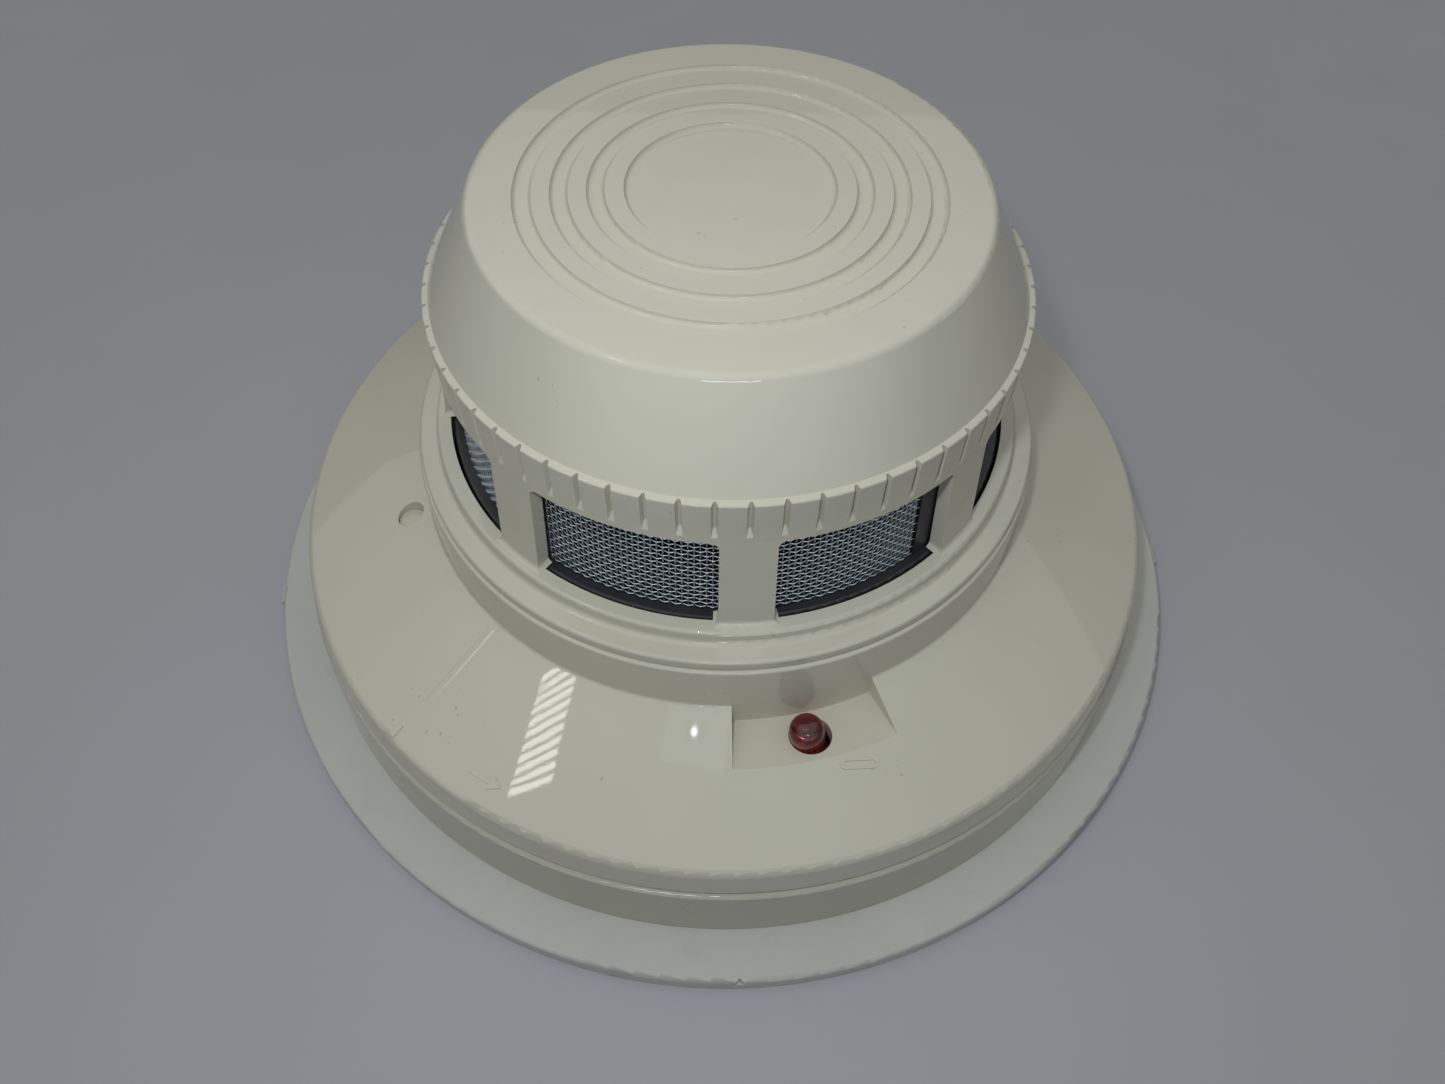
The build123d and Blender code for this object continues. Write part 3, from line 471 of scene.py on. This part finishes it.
def make_lamp_lens(settings, lamp):
    """Lens of the lamp: foot rim, barrel and round nose, as one closed skin."""
    radius, corner = settings.radius, 0.15 * MM
    rim = radius + 0.4 * MM - corner
    points = [(0, 0)] + arc_points((rim, corner), corner, -90, 0, 3)
    points += arc_points((rim, 1.0 * MM - corner), corner, 0, 90, 3)
    points += arc_points((radius + corner, 1.0 * MM + corner), corner, 270, 180, 3)
    points += arc_points((0, lamp.height - radius), radius, 0, 90, 14)
    mesh = spin_profile(bmesh.new(), points, 64)
    mesh.transform(lamp.leaning)
    return mesh


def add_blade(mesh, outline, thickness, place):
    """Stamped strip from a (across, up) outline in millimetres, with broken edges."""
    verts = [mesh.verts.new((-thickness / 2, across * MM, up * MM)) for across, up in outline]
    face = mesh.faces.new(verts)
    grown = bmesh.ops.extrude_face_region(mesh, geom=[face])["geom"]
    far = [item for item in grown if isinstance(item, bmesh.types.BMVert)]
    bmesh.ops.translate(mesh, verts=far, vec=(thickness, 0, 0))
    rims = [edge for edge in mesh.edges if edge.verts[0] in verts + far and edge.verts[1] in verts + far]
    rims = [edge for edge in rims if abs(edge.verts[0].co.x - edge.verts[1].co.x) < 1e-7]
    strip = {vert for vert in mesh.verts if vert in verts or vert in far}
    bevelled = bmesh.ops.bevel(mesh, geom=rims, offset=thickness * 0.12, affect="EDGES", segments=1,
                               profile=0.5, material=-1)
    strip = {vert for vert in strip if vert.is_valid} | {vert for vert in bevelled["verts"] if vert.is_valid}
    bmesh.ops.transform(mesh, matrix=place, verts=list(strip))


def make_lamp_leads(lamp):
    """Lead frame of the lamp: wide anvil with its cup, narrow post, and the two leads below."""
    mesh = bmesh.new()
    thickness = 0.46 * MM
    anvil = ((-1.50, 0.3), (-1.04, 0.3), (-1.04, 1.5), (0.20, 2.5), (0.30, 4.3), (-0.15, 4.7), (-1.25, 4.7),
             (-1.70, 4.2), (-1.75, 2.1), (-1.50, 1.4))
    post = ((1.04, 0.3), (1.50, 0.3), (1.50, 1.3), (1.75, 2.2), (1.60, 4.6), (0.80, 4.5), (0.70, 3.1),
            (1.04, 2.0))
    add_blade(mesh, anvil, thickness, lamp.leaning)
    add_blade(mesh, post, thickness, lamp.leaning)
    foot = lamp.lead_foot / MM
    for side in (-1, 1):
        middle = side * lamp.pitch / MM
        lead = ((middle - 0.12, foot), (middle + 0.12, foot), (middle + 0.23, foot + 0.4), (middle + 0.23, 0.5),
                (middle - 0.23, 0.5), (middle - 0.23, foot + 0.4))
        add_blade(mesh, lead, thickness, lamp.upright)
    return mesh


# ---------------------------------------------------------------- operators
class DETECTOR_OT_shells(bpy.types.Operator):
    """Finish the moulded shells, the base, the trim ring and the plunger"""

    bl_idname = "detector.shells"
    bl_label = "Moulded shells"

    def execute(self, context):
        settings = context.scene.detector_shell
        ivory = moulded_ivory("glossy_ivory", settings.ivory, settings.gloss, settings.dust)
        dress(ivory, "detector_cover", "lower_housing")
        # The base is a darker copy of the ivory: partly a darker moulding, partly painted shade for the base
        # ring's low upright faces.
        base = moulded_ivory("base_ivory", shade(settings.ivory, 0.80), settings.gloss * 2, settings.dust)
        dress(base, "mounting_base")
        inner = moulded_ivory("inner_ivory", shade(settings.ivory, 0.95), settings.gloss * 5, settings.dust)
        dress(inner, "rear_cover", "test_plunger")
        dress(textured_trim("trim_white", settings.trim), "trim_ring")
        return {"FINISHED"}


class DETECTOR_OT_screen(bpy.types.Operator):
    """Weave the insect screen and finish the black frame behind the windows"""

    bl_idname = "detector.screen"
    bl_label = "Insect screen"

    def execute(self, context):
        settings = context.scene.detector_screen
        strip = ScreenStrip(settings)
        metal = drawn_metal("screen_wire", settings.metal, 0.22, 0.42, scale=2500)
        level = new_piece("screen_level_wires", make_level_wires(strip), metal, "head")
        upright = new_piece("screen_upright_wires", make_upright_wires(strip), metal, "head")
        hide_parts("insect_screen")
        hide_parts("insect_screen")
        dress(black_plastic("frame_black", settings.black, 0.38, 0.55), "screen_frame")
        return {"FINISHED"}


class DETECTOR_OT_lamp(bpy.types.Operator):
    """Build the red alarm lamp with its lead frame inside, and finish its spacer"""

    bl_idname = "detector.lamp"
    bl_label = "Alarm lamp"

    def execute(self, context):
        settings = context.scene.detector_lamp
        lamp = LampPlace()
        red = clear_epoxy("red_epoxy", settings.red)
        lens = new_piece("lamp_lens", make_lamp_lens(settings, lamp), red, "head")
        tinned = drawn_metal("tinned_lead", (0.70, 0.70, 0.68), 0.15, 0.35)
        leads = new_piece("lamp_leads", make_lamp_leads(lamp), tinned, "head", smooth=False)
        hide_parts("alarm_lamp")
        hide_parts("alarm_lamp")
        dress(textured_trim("spacer_nylon", (0.62, 0.62, 0.58)), "lamp_spacer")
        return {"FINISHED"}


class DETECTOR_OT_chamber(bpy.types.Operator):
    """Finish the sensing chamber with its light trap, emitter, photodiode and shield"""

    bl_idname = "detector.chamber"
    bl_label = "Sensing chamber"

    def execute(self, context):
        dress(black_plastic("chamber_black", (0.012, 0.012, 0.013), 0.5, 0.75, 1800),
              "chamber_base", "chamber_labyrinth")
        dress(clear_epoxy("emitter_epoxy", (0.45, 0.52, 0.70)), "infrared_emitter")
        dress(black_plastic("receiver_epoxy", (0.02, 0.012, 0.02), 0.06, 0.16), "photodiode")
        dress(drawn_metal("shield_tin", (0.62, 0.63, 0.64), 0.2, 0.4), "photodiode_shield")
        return {"FINISHED"}


class DETECTOR_OT_electronics(bpy.types.Operator):
    """Finish the circuit board and what is soldered to it"""

    bl_idname = "detector.electronics"
    bl_label = "Electronics"

    def execute(self, context):
        dress(solder_mask("solder_mask"), "circuit_board")
        package = black_plastic("chip_package", (0.02, 0.02, 0.021), 0.4, 0.6, 2400)
        dress(package, "controller_chip", "small_chips", "test_switch")
        dress(dipped_epoxy("can_sleeve", (0.03, 0.04, 0.12)), "capacitors")
        dress(dipped_epoxy("disc_blue", (0.04, 0.10, 0.36)), "surge_suppressor")
        return {"FINISHED"}


class DETECTOR_OT_contacts(bpy.types.Operator):
    """Finish the contacts, clamps and screws"""

    bl_idname = "detector.contacts"
    bl_label = "Contacts and screws"

    def execute(self, context):
        bronze = drawn_metal("contact_bronze", (0.66, 0.44, 0.22), 0.22, 0.42, stretch=(1, 0.1, 1))
        steel = drawn_metal("plated_steel", (0.56, 0.55, 0.50), 0.25, 0.45)
        screw = drawn_metal("screw_steel", (0.52, 0.52, 0.50), 0.2, 0.42, scale=1600)
        numbers = range(1, 5)
        dress(bronze, *[f"base_contact_{number}" for number in numbers])
        dress(bronze, *[f"blade_contact_{number}" for number in numbers])
        dress(steel, *[f"wire_clamp_{number}" for number in numbers])
        dress(screw, "terminal_screws", "housing_screws", "chamber_screws")
        return {"FINISHED"}


class DETECTOR_OT_stage(bpy.types.Operator):
    """Lay the floor, hang the soft lights and set the camera"""

    bl_idname = "detector.stage"
    bl_label = "Stage"

    camera_place = (0.0, -0.11147, 0.15779)
    camera_pitch = 54.80
    camera_roll = 1.108
    camera_yaw = -0.097
    camera_light_place = (-0.014, -0.094, 0.172)
    room_height = 1.2
    ceiling_size = 4.0
    lamp_corner = (-0.625, -0.393)
    slat_count = 11
    slat_pitch = 0.0195
    slat_size = (0.13, 0.0122)

    def execute(self, context):
        settings = context.scene.detector_stage
        self.lay_floor(settings)
        self.hang_lights(settings)
        self.set_camera(context, settings)
        return {"FINISHED"}

    def lay_floor(self, settings):
        """Wide flat floor."""
        mesh = bmesh.new()
        bmesh.ops.create_grid(mesh, x_segments=8, y_segments=8, size=1.6)
        data = bpy.data.meshes.new("floor")
        mesh.to_mesh(data)
        mesh.free()
        data.materials.append(floor_paint("pale_floor", settings.floor))
        floor = bpy.data.objects.new("floor", data)
        bpy.context.scene.collection.objects.link(floor)

    def hang_lights(self, settings):
        """Wide soft ceiling, a slatted ceiling lamp at the left and a small light beside the camera."""
        bpy.context.scene.world = self.make_surround(settings)
        room = self.room_height
        warm, cool = (1.0, 0.985, 0.94), (0.90, 0.96, 1.0)
        self.add_panel("ceiling", (-0.35, -0.2, room), (-0.35, -0.2, 0),
                       (self.ceiling_size, self.ceiling_size), settings.key, warm)
        spread = self.add_panel("camera_light", self.camera_light_place, (0, 0, 0.05), (0.010, 0.006),
                                settings.camera_light, cool)
        spread.visible_glossy = False
        self.add_panel("camera_glint", self.camera_light_place, (0, 0, 0.05), (0.002, 0.0015),
                       settings.camera_light * 0.06, cool)
        self.add_panel("light_window", self.camera_light_place, (0, 0, 0.05), (0.034, 0.021),
                       settings.camera_light * 0.018, cool)
        edge_sheen = self.add_panel("edge_sheen", (0.006, -0.22, 0.16), (0, 0, 0.07), (0.080, 0.015),
                                    settings.sheen * 0.035, cool)
        edge_sheen.visible_diffuse = False
        for number in range(self.slat_count):
            across = self.lamp_corner[1] + number * self.slat_pitch
            place = (self.lamp_corner[0], across, room - 0.01)
            self.add_panel(f"ceiling_lamp_{number}", place, (place[0], place[1], 0), self.slat_size,
                           settings.ceiling_lamp / self.slat_count, warm)

    def make_surround(self, settings):
        """Dim light all round; glossy faces also see a pale ceiling and a brighter front horizon."""
        world = bpy.data.worlds.new("surround")
        world.use_nodes = True
        tree = world.node_tree
        background = tree.nodes["Background"]
        background.inputs["Color"].default_value = (0.90, 0.94, 0.96, 1)
        axes = tree.nodes.new("ShaderNodeSeparateXYZ")
        tree.links.new(tree.nodes.new("ShaderNodeTexCoord").outputs["Generated"], axes.inputs["Vector"])

        def fade(output, start, end, high):
            node = tree.nodes.new("ShaderNodeMapRange")
            node.interpolation_type = "SMOOTHSTEP"
            for socket, value in (("From Min", start), ("From Max", end), ("To Min", 0.0), ("To Max", high)):
                node.inputs[socket].default_value = value
            tree.links.new(output, node.inputs["Value"])
            return node.outputs["Result"]

        def join(operation, first, second):
            node = tree.nodes.new("ShaderNodeMath")
            node.operation = operation
            for socket, value in zip(node.inputs, (first, second)):
                if isinstance(value, float):
                    socket.default_value = value
                else:
                    tree.links.new(value, socket)
            return node.outputs[0]

        ceiling = fade(axes.outputs["Z"], 0.0, 0.3, settings.key / (math.pi * self.ceiling_size ** 2))
        front = fade(axes.outputs["Y"], -0.1, -1.0, settings.sheen)
        horizon = fade(axes.outputs["Z"], 0.6, 0.1, 1.0)
        glossy = join("ADD", ceiling, join("MULTIPLY", front, horizon))
        seen = join("MULTIPLY", glossy, tree.nodes.new("ShaderNodeLightPath").outputs["Is Glossy Ray"])
        tree.links.new(join("ADD", seen, settings.surround), background.inputs["Strength"])
        return world

    def add_panel(self, name, place, target, size, power, colour):
        """One rectangular light aimed at a point."""
        light = bpy.data.lights.new(name, "AREA")
        light.shape = "RECTANGLE"
        light.size, light.size_y = size
        light.energy = power
        light.color = colour
        panel = bpy.data.objects.new(name, light)
        panel.location = place
        panel.rotation_euler = (Vector(target) - Vector(place)).to_track_quat("-Z", "Y").to_euler()
        bpy.context.scene.collection.objects.link(panel)
        return panel

    def set_camera(self, context, settings):
        """Camera above the front, looking down, with a slight roll."""
        data = bpy.data.cameras.new("camera")
        data.sensor_width = 36.0
        data.lens = settings.lens
        data.clip_start = 0.005
        camera = bpy.data.objects.new("camera", data)
        turn = Matrix.Rotation(math.radians(-self.camera_yaw), 4, "Z")
        tilt = Matrix.Rotation(math.radians(90 - self.camera_pitch), 4, "X")
        roll = Matrix.Rotation(math.radians(self.camera_roll), 4, "Z")
        camera.matrix_world = Matrix.Translation(self.camera_place) @ turn @ tilt @ roll
        context.scene.collection.objects.link(camera)
        context.scene.camera = camera
        context.scene.view_settings.view_transform = "Standard"


class DETECTOR_PT_panel(bpy.types.Panel):
    """Buttons and settings of the detector's finish"""

    bl_idname = "DETECTOR_PT_panel"
    bl_label = "Detector"
    bl_space_type = "VIEW_3D"
    bl_region_type = "UI"
    bl_category = "Detector"

    def draw(self, context):
        scene = context.scene
        for operator in OPERATORS:
            self.layout.operator(operator.bl_idname)
        for name in SETTINGS:
            box = self.layout.box()
            settings = getattr(scene, name)
            for key in settings.bl_rna.properties.keys():
                if key not in ("rna_type", "name"):
                    box.prop(settings, key)


SETTINGS = {
    "detector_shell": DetectorShellSettings,
    "detector_screen": DetectorScreenSettings,
    "detector_lamp": DetectorLampSettings,
    "detector_stage": DetectorStageSettings,
}
OPERATORS = (
    DETECTOR_OT_stage,
    DETECTOR_OT_shells,
    DETECTOR_OT_screen,
    DETECTOR_OT_lamp,
    DETECTOR_OT_chamber,
    DETECTOR_OT_electronics,
    DETECTOR_OT_contacts,
)


def register():
    for settings in SETTINGS.values():
        bpy.utils.register_class(settings)
    for name, settings in SETTINGS.items():
        setattr(bpy.types.Scene, name, PointerProperty(type=settings))
    for operator in OPERATORS:
        bpy.utils.register_class(operator)
    bpy.utils.register_class(DETECTOR_PT_panel)


def unregister():
    bpy.utils.unregister_class(DETECTOR_PT_panel)
    for operator in reversed(OPERATORS):
        bpy.utils.unregister_class(operator)
    for name, settings in reversed(SETTINGS.items()):
        delattr(bpy.types.Scene, name)
        bpy.utils.unregister_class(settings)


def main():
    register()
    bpy.ops.detector.stage()
    bpy.ops.detector.shells()
    bpy.ops.detector.screen()
    bpy.ops.detector.lamp()
    bpy.ops.detector.chamber()
    bpy.ops.detector.electronics()
    bpy.ops.detector.contacts()


if __name__ == "__main__":
    main()
